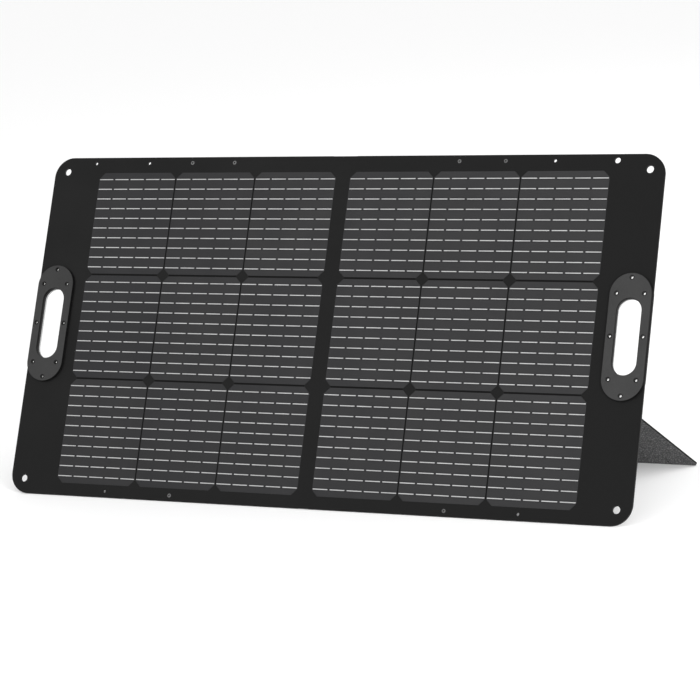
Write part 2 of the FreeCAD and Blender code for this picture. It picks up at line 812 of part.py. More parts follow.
def output_jack(name):
    """Round output jack: a cup, open at the box's side wall."""
    body = new_body(name)
    barrel = new_sketch(body, "Barrel", f"{BOX_RIGHT} - jack_length", "YZ_Plane")
    draw_circle(barrel, "jack_up", JACK_LEVEL, "jack_radius")
    pad(body, barrel, "jack_length")
    bore = new_sketch(body, "Bore", f"{BOX_RIGHT} - jack_bore_length", "YZ_Plane")
    draw_circle(bore, "jack_up", JACK_LEVEL, "jack_bore_radius")
    pocket(body, bore, "jack_bore_length")
    return body


def port_cover(name):
    """Rubber flap over the jack, turning about its edge by the lid."""
    body = new_body(name)
    flap = new_sketch(body, "Flap", f"{BOX_RIGHT} + cover_gap", "YZ_Plane")
    draw_rectangle(flap, "jack_up - cover_height / 2", "jack_up + cover_height / 2",
                   f"{PANEL_BACK} - cover_far", f"{PANEL_BACK} - cover_near")
    pad(body, flap, "cover_thick")
    return body


# --- flexible fold -------------------------------------------------------------------

def fold_layer(name, front, thick, half_width):
    """A full-height strip across the fold."""
    body = new_body(name)
    outline = new_sketch(body, "Outline", f"{front} - {thick}")
    draw_rectangle(outline, f"0 - {half_width}", half_width, "fold_end_inset",
                   "panel_height - fold_end_inset")
    pad(body, outline, thick)
    return body


def fold_jumpers(name):
    """Two flat conductors that carry the current across the fold."""
    body = new_body(name)
    outline = new_sketch(body, "Outline", f"{LAMINATE_FRONT} - ribbon_thick")
    for sign in ("-", "+"):
        draw_block(outline, "0", f"(panel_height / 2 {sign} jumper_from_middle)",
                   "(2 * fold_half_gap - 2 * strip_clearance)", "jumper_width")
    pad(body, outline, "ribbon_thick")
    return body


# --- the whole object ----------------------------------------------------------------

parts = []


def add_pair(name, part):
    """Keep a part for the right half and its twin for the left half."""
    part.Label = f"right_{name}"
    parts.append(part)
    parts.append(mirror(part, f"left_{name}"))


def add_handed(name, maker):
    """A layer whose outer hole is large on the right half and small on the left half."""
    right = maker(f"right_{name}", "outer_hole_large_radius")
    parts.append(right)
    small = maker(f"{name}_small_hole", "outer_hole_small_radius")
    parts.append(mirror(small, f"left_{name}"))


add_handed("front_sheet", front_sheet)
add_handed("laminate", laminate)
add_handed("core_board", core_board)
add_handed("back_skin", back_skin)
add_pair("cells", cells("right_cells"))
add_pair("bus_ribbons", ribbons("right_bus_ribbons"))

grip_back_low = f"{PANEL_BACK} - grip_back_thick"
add_pair("grip_front", grip("right_grip_front", "0", "grip_front_thick", "grip_front_thick"))
add_pair("grip_back", grip("right_grip_back", grip_back_low, "grip_back_thick", grip_back_low))
add_pair("grip_eyelets", grip_eyelets("right_grip_eyelets"))
add_pair("edge_rivets", edge_rivets("right_edge_rivets"))

add_pair("stand_core", stand_core("right_stand_core"))
add_pair("stand_inner_face", stand_layer("right_stand_inner_face", "0 - stand_skin_thick",
                                         "stand_skin_thick", "stand_skin_inset"))
add_pair("stand_outer_face", stand_layer("right_stand_outer_face", f"0 - {STAND_THICK}",
                                         "stand_skin_thick", "stand_skin_inset"))
add_pair("stand_magnet", stand_magnet("right_stand_magnet"))
add_pair("hinge_tape_panel_side", hinge_leaf("right_hinge_tape_panel_side", "panel"))
add_pair("hinge_tape_stand_side", hinge_leaf("right_hinge_tape_stand_side", "stand"))
add_pair("hinge_tape_bend", hinge_web("right_hinge_tape_bend"))
add_pair("limit_strap", limit_strap("right_limit_strap"))

parts.append(box_base("right_box_base", True))
parts.append(mirror(box_base("box_base_plain", False), "left_box_base"))
add_pair("box_seal", box_seal("right_box_seal"))
add_pair("box_lid", box_lid("right_box_lid"))
add_pair("box_screws", box_screws("right_box_screws"))
add_pair("circuit_board", circuit_board("right_circuit_board"))
add_pair("bypass_diodes", bypass_diodes("right_bypass_diodes"))
add_pair("terminal_block", terminal_block("right_terminal_block"))

parts.append(fold_layer("fold_band_front", "0", "sheet_thick", "(fold_half_gap - strip_clearance)"))
parts.append(fold_layer("fold_band_back", CORE_BACK, "skin_thick", "(fold_half_gap - strip_clearance)"))
parts.append(fold_layer("fold_strip", CORE_FRONT, "strip_thick", "strip_half_width"))
parts.append(fold_jumpers("fold_jumpers"))

parts.append(output_jack("output_jack"))
parts.append(port_cover("port_cover"))

doc.recompute()


def check(part):
    shape = part.Shape
    if any(word in part.State for word in ("Invalid", "Error")):
        raise RuntimeError(f"{part.Label} did not rebuild: {part.State}")
    if shape.isNull() or not shape.isValid() or not shape.Solids:
        raise RuntimeError(f"{part.Label} has no valid solid")


for item in doc.Objects:
    if any(word in item.State for word in ("Invalid", "Error")):
        raise RuntimeError(f"{item.Label} did not rebuild: {item.State}")
for part in parts:
    check(part)

os.makedirs("parts", exist_ok=True)
whole = FreeCAD.BoundBox()
for part in parts:
    part.Shape.exportStep(f"parts/{part.Label}.step")
    whole.add(part.Shape.BoundBox)
    limits = part.Shape.BoundBox
    print(f"{part.Label:32s} x {limits.XMin:8.2f} {limits.XMax:8.2f}",
          f"solids {len(part.Shape.Solids):3d}  volume {part.Shape.Volume / 1000:10.2f} cm3")
print("box", [round(number, 2) for number in (whole.XMin, whole.XMax, whole.YMin, whole.YMax,
                                              whole.ZMin, whole.ZMax)])
print("flap angle from upright", round(value(LEG_ANGLE), 3))
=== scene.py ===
import json
import math

import bmesh
import bpy
from mathutils import Matrix, Quaternion, Vector


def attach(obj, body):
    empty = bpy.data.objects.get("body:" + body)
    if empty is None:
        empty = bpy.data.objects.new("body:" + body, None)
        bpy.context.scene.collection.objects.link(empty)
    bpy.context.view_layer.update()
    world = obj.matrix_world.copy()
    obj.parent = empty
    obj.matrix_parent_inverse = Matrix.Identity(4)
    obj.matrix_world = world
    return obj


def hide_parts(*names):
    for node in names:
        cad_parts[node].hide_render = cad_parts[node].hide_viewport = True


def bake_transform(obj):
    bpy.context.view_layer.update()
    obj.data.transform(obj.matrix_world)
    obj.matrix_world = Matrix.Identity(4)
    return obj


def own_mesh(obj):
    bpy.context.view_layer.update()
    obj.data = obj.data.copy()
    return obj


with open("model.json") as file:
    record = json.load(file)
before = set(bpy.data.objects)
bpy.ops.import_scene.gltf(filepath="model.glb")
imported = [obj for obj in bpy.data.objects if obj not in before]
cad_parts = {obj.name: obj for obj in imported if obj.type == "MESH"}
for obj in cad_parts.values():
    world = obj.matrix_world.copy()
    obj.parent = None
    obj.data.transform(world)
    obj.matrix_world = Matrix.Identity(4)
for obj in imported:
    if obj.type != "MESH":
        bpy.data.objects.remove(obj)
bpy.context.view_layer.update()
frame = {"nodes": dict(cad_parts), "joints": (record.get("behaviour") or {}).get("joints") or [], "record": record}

MM = 0.001
SIDES = (("left", -1), ("right", 1))
JOINTS = {joint["name"]: joint for joint in frame["joints"]}


# ---- the panel's own frame: X across, Y up the panel, Z out of its front face ----------

FOLD_AXIS = Vector(JOINTS["fold_hinge"]["axis"]).normalized()
UP_PANEL = -FOLD_AXIS
ACROSS = Vector((1, 0, 0))
FRONT = ACROSS.cross(UP_PANEL)
FOLD_AXIS_HEIGHT = 6 * MM
HALF_PANEL_HEIGHT = 299.25 * MM
FOLD_POINT = Vector(JOINTS["fold_hinge"]["pos_m"])
PANEL_ORIGIN = FOLD_POINT - UP_PANEL * HALF_PANEL_HEIGHT - FRONT * FOLD_AXIS_HEIGHT
PANEL_TURN = Matrix((ACROSS, UP_PANEL, FRONT)).transposed()
PANEL_BACK = -4 * MM


# ---- sizes, in the panel's frame ----------------------------------------------------------

# The cells, the dark lines between them and the dashes of their busbars.
CELL_MIDDLE_UP = 296 * MM
CELL_PITCH_UP = 184 * MM
CELL_PITCH_ACROSS = 153 * MM
CELL_FIRST_ACROSS = 88.9 * MM
CELL_WIDTH = 151 * MM
CELL_HEIGHT = 181 * MM
CELL_CHAMFER = 10.5 * MM
CELL_FRONT = -0.05 * MM
UPRIGHT_LINE = 2.4 * MM
LEVEL_LINE = 3.2 * MM
LINE_FRONT = 0.02 * MM
LINE_BACK = CELL_FRONT - 0.02 * MM
BARS = 10
BAR_PITCH = 17.46 * MM
DASHES = 5
DASH_PITCH = 30.6 * MM
DASH_LENGTH = 26.5 * MM
DASH_WIDTH = 1.6 * MM
DASH_FRONT = CELL_FRONT + 0.04 * MM
DASH_BACK = CELL_FRONT - 0.02 * MM
HALF_FINGER_PITCH = 0.75 * MM

# The grips: the middle of each, and half the width and height of its slot.
GRIP_ACROSS = 526.5 * MM
SLOT_HALF_WIDTH = 21.5 * MM
SLOT_HALF_HEIGHT = 64 * MM

# The fold between the halves.
FOLD_HALF_GAP = 9.0 * MM
FOLD_STRIP_REACH = 22 * MM
FOLD_END_INSET = 0.6 * MM

# The flaps' hinges, their tape and its stitches.
HINGE_UP = 385 * MM
HINGE_DEPTH = PANEL_BACK - 3 * MM
OPENING = math.radians(JOINTS["right_stand_hinge"]["range_deg"][1] + 0.02)
TAPE_INNER_END = 68 * MM
TAPE_OUTER_END = 241.5 * MM
TAPE_THICK = 1.0 * MM
TAPE_HEIGHT = 26 * MM
TAPE_GAP = 3 * MM
SEAM_FROM_END = 3 * MM
SEAM_FROM_BEND = 5 * MM
STITCH_PITCH = 4.2 * MM
STITCH_LENGTH = 3.0 * MM
STITCH_THICK = 0.7 * MM
STITCH_RISE = 0.2 * MM

# The straps that stop the flaps.
STRAP_REACH = 220 * MM
STRAP_WIDTH = 25 * MM
STRAP_THICK = 1.2 * MM
STRAP_PATCH = 34 * MM
STRAP_ACROSS = 160 * MM
STRAP_SAG = 2.2 * MM
PATCH_MARGIN = 3 * MM


# ---- camera, floor and light ------------------------------------------------------------

CAMERA_PLACE = (1.862, -3.775, 1.203)
CAMERA_LOOKS_ALONG = (-0.4262, 0.8757, -0.2268)
CAMERA_ROLL = math.radians(-4.715)
CAMERA_LENS = 133.25
LIGHTS_AIM = Vector((0, 0, 0.25))
FLOOR_REACH = 30
FLOOR_GREY = 0.95


def add_camera():
    camera = bpy.data.cameras.new("camera")
    camera.lens = CAMERA_LENS
    camera.sensor_width = 36
    holder = bpy.data.objects.new("camera", camera)
    bpy.context.scene.collection.objects.link(holder)
    holder.location = CAMERA_PLACE
    aim = Vector(CAMERA_LOOKS_ALONG).to_track_quat("-Z", "Y")
    holder.rotation_mode = "QUATERNION"
    holder.rotation_quaternion = aim @ Quaternion((0, 0, 1), CAMERA_ROLL)
    bpy.context.scene.camera = holder


def add_area_light(name, place, size, power):
    lamp = bpy.data.lights.new(name, "AREA")
    lamp.shape = "DISK"
    lamp.size = size
    lamp.energy = power
    holder = bpy.data.objects.new(name, lamp)
    bpy.context.scene.collection.objects.link(holder)
    holder.location = place
    holder.rotation_mode = "QUATERNION"
    holder.rotation_quaternion = (LIGHTS_AIM - Vector(place)).to_track_quat("-Z", "Y")


def add_studio():
    scene = bpy.context.scene
    scene.view_settings.view_transform = "Standard"
    world = bpy.data.worlds.new("studio")
    scene.world = world
    world.use_nodes = True
    background = world.node_tree.nodes["Background"]
    background.inputs["Color"].default_value = (1, 1, 1, 1)
    background.inputs["Strength"].default_value = 1.0
    add_area_light("key_light", (-2.4, -3.0, 3.0), 2.6, 28)
    add_area_light("side_light", (2.8, -2.4, 1.1), 1.6, 95)
    add_area_light("back_light", (1.5, 3.2, 2.4), 2.4, 30)
    mesh = bpy.data.meshes.new("floor")
    turns = ((-1, -1), (1, -1), (1, 1), (-1, 1))
    corners = [(x * FLOOR_REACH, y * FLOOR_REACH, 0) for x, y in turns]
    mesh.from_pydata(corners, [], [(0, 1, 2, 3)])
    floor = bpy.data.objects.new("floor", mesh)
    scene.collection.objects.link(floor)
    material = bpy.data.materials.new("pale_floor")
    material.use_nodes = True
    shader = material.node_tree.nodes["Principled BSDF"]
    shader.inputs["Base Color"].default_value = (FLOOR_GREY, FLOOR_GREY, FLOOR_GREY, 1)
    shader.inputs["Roughness"].default_value = 0.9
    shader.inputs["Specular IOR Level"].default_value = 0.1
    mesh.materials.append(material)


# ---- materials ----------------------------------------------------------------------------

class Surface:
    """A material's node tree, with short ways to add the nodes that the surfaces share."""

    def __init__(self, name, roughness, specular=0.5, metallic=0.0):
        self.material = bpy.data.materials.new(name)
        self.material.use_nodes = True
        self.nodes = self.material.node_tree.nodes
        self.links = self.material.node_tree.links
        self.shader = self.nodes["Principled BSDF"]
        self.shader.inputs["Roughness"].default_value = roughness
        self.shader.inputs["Specular IOR Level"].default_value = specular
        self.shader.inputs["Metallic"].default_value = metallic

    def add(self, kind, **settings):
        node = self.nodes.new(kind)
        for name, setting in settings.items():
            setattr(node, name, setting)
        return node

    def join(self, source, target):
        self.links.new(source, target)

    def row_place(self):
        return self.add("ShaderNodeTexCoord").outputs["Object"]

    def panel_place(self):
        """The place on the panel, in metres: X across, Y up, Z out of the front."""
        mapping = self.add("ShaderNodeMapping")
        turn = PANEL_TURN.transposed()
        mapping.inputs["Rotation"].default_value = turn.to_euler()
        mapping.inputs["Location"].default_value = -(turn @ PANEL_ORIGIN)
        self.join(self.row_place(), mapping.inputs["Vector"])
        return mapping.outputs["Vector"]

    def noise(self, scale, detail=4.0, rough=0.5, place=None):
        node = self.add("ShaderNodeTexNoise")
        node.inputs["Scale"].default_value = scale
        node.inputs["Detail"].default_value = detail
        node.inputs["Roughness"].default_value = rough
        self.join(place or self.row_place(), node.inputs["Vector"])
        return node.outputs["Fac"]

    def maths(self, operation, first, second=None, third=None):
        node = self.add("ShaderNodeMath", operation=operation)
        for socket, value in zip(node.inputs, (first, second, third)):
            if value is None:
                continue
            if isinstance(value, (int, float)):
                socket.default_value = value
            else:
                self.join(value, socket)
        return node.outputs[0]

    def ranged(self, value, low, high, out_low, out_high):
        node = self.add("ShaderNodeMapRange")
        node.interpolation_type = "SMOOTHSTEP"
        for number, setting in enumerate((low, high, out_low, out_high), start=1):
            node.inputs[number].default_value = setting
        self.join(value, node.inputs[0])
        return node.outputs[0]

    def mix(self, factor, first, second):
        node = self.add("ShaderNodeMix", data_type="RGBA")
        self.join(factor, node.inputs[0])
        for socket, value in ((node.inputs[6], first), (node.inputs[7], second)):
            if isinstance(value, tuple):
                socket.default_value = (*value, 1)
            else:
                self.join(value, socket)
        return node.outputs[2]

    def facing_front(self):
        """1 on faces that look out of the panel's front or back, 0 on cut edges and walls."""
        coordinates = self.add("ShaderNodeTexCoord")
        facing = self.add("ShaderNodeVectorMath", operation="DOT_PRODUCT")
        self.join(coordinates.outputs["Normal"], facing.inputs[0])
        facing.inputs[1].default_value = FRONT
        return self.ranged(self.maths("ABSOLUTE", facing.outputs["Value"]), 0.5, 0.93, 0, 1)

    def colour(self, output):
        self.join(output, self.shader.inputs["Base Color"])

    def roughness(self, output):
        self.join(output, self.shader.inputs["Roughness"])

    def bump(self, height, distance, strength=1.0):
        node = self.add("ShaderNodeBump")
        node.inputs["Distance"].default_value = distance
        node.inputs["Strength"].default_value = strength
        self.join(height, node.inputs["Height"])
        if self.shader.inputs["Normal"].is_linked:
            self.join(self.shader.inputs["Normal"].links[0].from_socket, node.inputs["Normal"])
        self.join(node.outputs["Normal"], self.shader.inputs["Normal"])


def grey(level):
    return (level, level, level)


def moulded(name, level, roughness, grain=900, depth=0.00006, specular=0.35, spread=0.12):
    """Moulded plastic or rubber: fine spark-eroded grain, slow variation in shade and gloss."""
    surface = Surface(name, roughness, specular)
    slow = surface.noise(9, 3)
    fine = surface.noise(grain, 3, 0.6)
    patch = surface.ranged(slow, 0.3, 0.7, 0, 1)
    shade = surface.mix(patch, grey(level * (1 - spread)), grey(level * (1 + spread)))
    grain_mask = surface.ranged(fine, 0.35, 0.75, 0, 0.5)
    surface.colour(surface.mix(grain_mask, shade, grey(level * 1.5)))
    surface.roughness(surface.ranged(slow, 0.25, 0.75, roughness - 0.06, roughness + 0.08))
    surface.bump(fine, depth)
    return surface


def front_sheet_material():
    """Smooth black satin sheet with a very fine matt tooth."""
    return moulded("front_sheet", 0.0050, 0.46, grain=1400, depth=0.00001, specular=0.1,
                   spread=0.08).material


def cell_material():
    """Dark grey cells: fine fingers, painted shade darkening the cell along each busbar, a shade of its own per
    cell.

    The shade also drifts lighter from left to right: painted light, lighter on the side where more light falls.
    """
    surface = Surface("cells", 0.42, 0.13)
    place = surface.add("ShaderNodeSeparateXYZ")
    surface.join(surface.panel_place(), place.inputs[0])
    across, up = place.outputs[0], place.outputs[1]
    cell_up = surface.maths("SUBTRACT", up, CELL_MIDDLE_UP - 1.5 * CELL_PITCH_UP)
    half_pitch = CELL_PITCH_UP / 2
    off_middle = surface.maths("SUBTRACT", cell_up, half_pitch)
    from_middle = surface.maths("PINGPONG", off_middle, half_pitch)
    half_bar = BAR_PITCH / 2
    off_bar = surface.maths("SUBTRACT", from_middle, half_bar)
    from_bar = surface.maths("PINGPONG", off_bar, half_bar)
    # Painted shade: the cell is darker along each busbar, standing for the shadow under its dashes.
    busbar_shade_band = surface.ranged(from_bar, 0.0005, 0.0042, 1, 0)
    finger = surface.maths("PINGPONG", up, HALF_FINGER_PITCH)
    line = surface.ranged(finger, 0.0002, 0.0005, 0, 1)
    from_first = surface.maths("SUBTRACT", surface.maths("ABSOLUTE", across),
                               CELL_FIRST_ACROSS - CELL_PITCH_ACROSS / 2)
    seat = surface.add("ShaderNodeCombineXYZ")
    runs = ((from_first, CELL_PITCH_ACROSS), (cell_up, CELL_PITCH_UP))
    for socket, (run, pitch) in zip(seat.inputs, runs):
        surface.join(surface.maths("FLOOR", surface.maths("DIVIDE", run, pitch)), socket)
    surface.join(surface.maths("SIGN", across), seat.inputs[2])
    chance = surface.add("ShaderNodeTexWhiteNoise", noise_dimensions="3D")
    surface.join(seat.outputs[0], chance.inputs["Vector"])
    cloud = surface.noise(14, 4, 0.6)
    tint = surface.mix(chance.outputs["Value"],
                       (0.0125, 0.0125, 0.0140), (0.0165, 0.0162, 0.0168))
    # Painted light: the cells turn lighter from left to right.
    painted_light_drift = surface.ranged(across, -0.4, 0.5, 0, 0.9)
    light_drifted_tint = surface.mix(painted_light_drift, tint, (0.0240, 0.0238, 0.0245))
    cloud_mask = surface.ranged(cloud, 0.3, 0.7, 0, 0.3)
    clouded = surface.mix(cloud_mask, light_drifted_tint, (0.0140, 0.0142, 0.0158))
    line_mask = surface.maths("MULTIPLY", line, 0.4)
    fingered = surface.mix(line_mask, clouded, (0.0290, 0.0290, 0.0300))
    busbar_shade_mask = surface.maths("MULTIPLY", busbar_shade_band, 0.5)
    busbar_shaded = surface.mix(busbar_shade_mask, fingered, (0.0100, 0.0100, 0.0110))
    surface.colour(busbar_shaded)
    surface.roughness(surface.ranged(cloud, 0.2, 0.8, 0.36, 0.5))
    surface.bump(line, 0.00001)
    return surface.material


def grip_material():
    """Matt grey plastic whose cut edges and walls are painted black as shade; behind the board the slot's walls
    are painted pale as light.
    """
    surface = moulded("grip", 0.031, 0.6, grain=1100, depth=0.00003, specular=0.1)
    face = surface.facing_front()
    place = surface.add("ShaderNodeSeparateXYZ")
    surface.join(surface.panel_place(), place.inputs[0])
    outward = surface.maths("ABSOLUTE", place.outputs[0])
    beside = surface.maths("ABSOLUTE", surface.maths("SUBTRACT", outward, GRIP_ACROSS))
    off_middle = surface.maths("SUBTRACT", place.outputs[1], HALF_PANEL_HEIGHT)
    above = surface.maths("ABSOLUTE", off_middle)
    slot = surface.maths("MULTIPLY", surface.maths("LESS_THAN", beside, SLOT_HALF_WIDTH),
                         surface.maths("LESS_THAN", above, SLOT_HALF_HEIGHT))
    behind = surface.ranged(place.outputs[2], -4.4 * MM, -3.9 * MM, 1, 0)
    # Painted shade and light: cut edges and walls black, the slot's walls behind the board pale.
    edge_shade_and_light = surface.mix(surface.maths("MULTIPLY", slot, behind), grey(0.004), grey(0.45))
    plain = surface.shader.inputs["Base Color"].links[0].from_socket
    surface.colour(surface.mix(face, edge_shade_and_light, plain))
    return surface.material


def eyelet_material():
    """Black-enamelled eyelets whose barrels are bare metal from just above the board backwards."""
    surface = Surface("eyelets", 0.3, 0.12)
    place = surface.add("ShaderNodeSeparateXYZ")
    surface.join(surface.panel_place(), place.inputs[0])
    deep = surface.ranged(place.outputs[2], 0.2 * MM, 1.2 * MM, 1, 0)
    bare = surface.maths("MULTIPLY", deep, surface.maths("SUBTRACT", 1.0, surface.facing_front()))
    scratch = surface.noise(900, 5, 0.7)
    enamel = surface.mix(scratch, grey(0.004), grey(0.009))
    plate = surface.mix(scratch, (0.80, 0.80, 0.79), (0.95, 0.95, 0.94))
    surface.colour(surface.mix(bare, enamel, plate))
    surface.join(bare, surface.shader.inputs["Metallic"])
    surface.roughness(surface.ranged(bare, 0, 1, 0.5, 0.2))
    surface.bump(scratch, 0.000005)
    return surface.material


def stand_face_material():
    """Pebbled grey skin: rounded grains about four millimetres wide, with painted shade darkening the creases."""
    surface = Surface("stand_face", 0.72, 0.18)
    bend = surface.add("ShaderNodeVectorMath", operation="SCALE")
    wander = surface.add("ShaderNodeTexNoise")
    wander.inputs["Scale"].default_value = 120
    surface.join(surface.row_place(), wander.inputs["Vector"])
    surface.join(wander.outputs["Color"], bend.inputs[0])
    bend.inputs["Scale"].default_value = 0.004
    warped = surface.add("ShaderNodeVectorMath", operation="ADD")
    surface.join(surface.row_place(), warped.inputs[0])
    surface.join(bend.outputs[0], warped.inputs[1])
    crease = surface.add("ShaderNodeTexVoronoi", feature="DISTANCE_TO_EDGE")
    crease.inputs["Scale"].default_value = 260
    surface.join(warped.outputs[0], crease.inputs["Vector"])
    grain = surface.ranged(crease.outputs["Distance"], 0.0, 0.28, 0, 1)
    cloud = surface.noise(110, 4, 0.6)
    fine = surface.noise(900, 3, 0.6)
    patch = surface.ranged(cloud, 0.35, 0.65, 0, 1)
    shade = surface.mix(patch, (0.092, 0.092, 0.093), grey(0.140))
    # Painted shade: the creases between the grains are darker.
    crease_shaded = surface.mix(grain, (0.036, 0.036, 0.037), shade)
    surface.colour(surface.mix(surface.ranged(fine, 0.4, 0.7, 0, 0.25), crease_shaded, grey(0.17)))
    surface.roughness(surface.ranged(cloud, 0.2, 0.8, 0.64, 0.82))
    surface.bump(grain, 0.0003, 0.8)
    return surface.material


def board_edge_material(name, level, specular):
    """Glass-fibre board: black resin with faint layer lines along its cut edge."""
    surface = moulded(name, level, 0.6, grain=700, depth=0.00003, specular=specular)
    place = surface.add("ShaderNodeSeparateXYZ")
    surface.join(surface.panel_place(), place.inputs[0])
    layer = surface.maths("PINGPONG", place.outputs[2], 0.0003)
    layers = surface.ranged(layer, 0.0001, 0.0002, 0, 1)
    surface.bump(layers, 0.00004)
    return surface.material


def back_skin_material():
    """Black coated backing with a fine leather-like pebble."""
    surface = moulded("back_skin", 0.022, 0.62, grain=500, depth=0.0001, specular=0.25)
    pebble = surface.add("ShaderNodeTexVoronoi", feature="SMOOTH_F1")
    pebble.inputs["Scale"].default_value = 420
    surface.join(surface.row_place(), pebble.inputs["Vector"])
    surface.bump(pebble.outputs["Distance"], 0.0002, 0.8)
    return surface.material


def webbing_material():
    """Woven nylon tape: crossing yarns about a millimetre wide."""
    surface = Surface("webbing", 0.78, 0.2)
    place = surface.add("ShaderNodeSeparateXYZ")
    surface.join(surface.panel_place(), place.inputs[0])
    yarn = 0.0011
    warp = surface.maths("PINGPONG", place.outputs[0], yarn)
    lengthwise = surface.maths("SUBTRACT", place.outputs[1], place.outputs[2])
    weft = surface.maths("PINGPONG", lengthwise, yarn)
    weave = surface.maths("MULTIPLY", surface.ranged(warp, 0, yarn, 0, 1),
                          surface.ranged(weft, 0, yarn, 0, 1))
    fuzz = surface.noise(900, 3, 0.7)
    shade = surface.mix(weave, (0.008, 0.008, 0.009), (0.030, 0.030, 0.032))
    fuzz_mask = surface.ranged(fuzz, 0.4, 0.8, 0, 0.4)
    surface.colour(surface.mix(fuzz_mask, shade, (0.045, 0.045, 0.047)))
    surface.bump(weave, 0.0003)
    return surface.material


def metal_material(name, level, roughness):
    """Bare or plated metal with fine brushed scratches."""
    surface = Surface(name, roughness, 0.5, 1.0)
    scratch = surface.noise(700, 6, 0.7)
    surface.colour(surface.mix(scratch, grey(level * 0.8), grey(level * 1.15)))
    surface.roughness(surface.ranged(scratch, 0.3, 0.7, roughness - 0.08, roughness + 0.1))
    surface.bump(scratch, 0.00001)
    return surface.material


def busbar_material():
    """Light grey tinned wire under the satin sheet."""
    surface = Surface("tinned_wire", 0.5, 0.3)
    slow = surface.noise(25, 3)
    fine = surface.noise(600, 4)
    shade = surface.mix(surface.ranged(slow, 0.3, 0.7, 0, 1), grey(0.30), grey(0.37))
    surface.colour(surface.mix(surface.ranged(fine, 0.4, 0.7, 0, 0.3), shade, grey(0.44)))
    surface.bump(fine, 0.00001)
    return surface.material


def thread_material():
    """Twisted grey polyester thread, a little lighter than the tape that it sews."""
    surface = Surface("thread", 0.6, 0.3)
    twist = surface.add("ShaderNodeTexWave", wave_type="BANDS", bands_direction="DIAGONAL")
    twist.inputs["Scale"].default_value = 900
    twist.inputs["Distortion"].default_value = 1.5
    surface.join(surface.row_place(), twist.inputs["Vector"])
    surface.colour(surface.mix(twist.outputs["Fac"], (0.055, 0.055, 0.056), (0.105, 0.105, 0.107)))
    surface.bump(twist.outputs["Fac"], 0.00008)
    return surface.material


def circuit_board_material():
    """Green solder mask with paler tracks."""
    surface = Surface("circuit_board", 0.35, 0.5)
    track = surface.add("ShaderNodeTexBrick")
    track.inputs["Scale"].default_value = 60
    track.inputs["Color1"].default_value = (0.010, 0.070, 0.030, 1)
    track.inputs["Color2"].default_value = (0.012, 0.085, 0.036, 1)
    track.inputs["Mortar"].default_value = (0.030, 0.160, 0.070, 1)
    surface.join(surface.row_place(), track.inputs["Vector"])
    surface.colour(track.outputs["Color"])
    surface.bump(track.outputs["Fac"], 0.00005)
    return surface.material


def make_materials():
    return {
        "front_sheet": front_sheet_material(),
        "laminate": moulded("laminate", 0.015, 0.4).material,
        "core_board": board_edge_material("core_board", 0.012, 0.25),
        "back_skin": back_skin_material(),
        "cells": cell_material(),
        # Nearly black, so that the bus ribbons do not glint through the slit round the cells.
        "tinned_metal": metal_material("tinned_metal", 0.02, 0.6),
        "grip": grip_material(),
        "eyelets": eyelet_material(),
        "rivets": metal_material("rivets", 0.075, 0.22),
        "stand_core": board_edge_material("stand_core", 0.004, 0.1),
        "stand_face": stand_face_material(),
        "magnet": metal_material("magnet", 0.5, 0.25),
        "webbing": webbing_material(),
        "thread": thread_material(),
        "box": moulded("box", 0.016, 0.55, grain=700, depth=0.0001, specular=0.3).material,
        "seal": moulded("seal", 0.02, 0.8).material,
        "screws": metal_material("screws", 0.2, 0.35),
        "circuit_board": circuit_board_material(),
        "diodes": moulded("diodes", 0.014, 0.35).material,
        "terminals": moulded("terminals", 0.02, 0.5).material,
        "fold_strip": moulded("fold_strip", 0.012, 0.7).material,
        "jack": moulded("jack", 0.012, 0.35).material,
        "cover": moulded("cover", 0.02, 0.75, grain=600, depth=0.00008).material,
    }


def dress_nodes(materials):
    """Give every CAD node the material of its slot."""
    for subpart in frame["record"]["subparts"]:
        node = frame["nodes"][subpart["node"]]
        node.data.materials.clear()
        node.data.materials.append(materials[subpart["material_slot"]])


# ---- pieces built here ------------------------------------------------------------------

def new_piece(name, shape, materials):
    """Turn a bmesh drawn in the panel's frame into an object in the row frame."""
    bmesh.ops.recalc_face_normals(shape, faces=shape.faces)
    mesh = bpy.data.meshes.new(name)
    shape.to_mesh(mesh)
    shape.free()
    mesh.transform(PANEL_TURN.to_4x4())
    mesh.transform(Matrix.Translation(PANEL_ORIGIN))
    for material in materials:
        mesh.materials.append(material)
    piece = bpy.data.objects.new(name, mesh)
    bpy.context.scene.collection.objects.link(piece)
    return piece


def add_block(shape, low, high):
    """A closed box between two corners."""
    made = bmesh.ops.create_cube(shape, size=1)
    for vertex in made["verts"]:
        for axis in range(3):
            share = vertex.co[axis] + 0.5
            vertex.co[axis] = low[axis] + share * (high[axis] - low[axis])


def build_busbars(side, sign, material):
    """Every visible dash of the busbars of one half."""
    shape = bmesh.new()
    top_row = CELL_MIDDLE_UP + CELL_PITCH_UP
    for column in range(3):
        for row in range(3):
            middle = CELL_FIRST_ACROSS + column * CELL_PITCH_ACROSS
            level = top_row - row * CELL_PITCH_UP
            for bar in range(BARS):
                up = level + (bar - (BARS - 1) / 2) * BAR_PITCH
                for dash in range(DASHES):
                    across = sign * middle + (dash - (DASHES - 1) / 2) * DASH_PITCH
                    add_block(shape,
                              (across - DASH_LENGTH / 2, up - DASH_WIDTH / 2, DASH_BACK),
                              (across + DASH_LENGTH / 2, up + DASH_WIDTH / 2, DASH_FRONT))
    piece = new_piece(f"{side}_busbars", shape, [material])
    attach(piece, f"{side}_half")


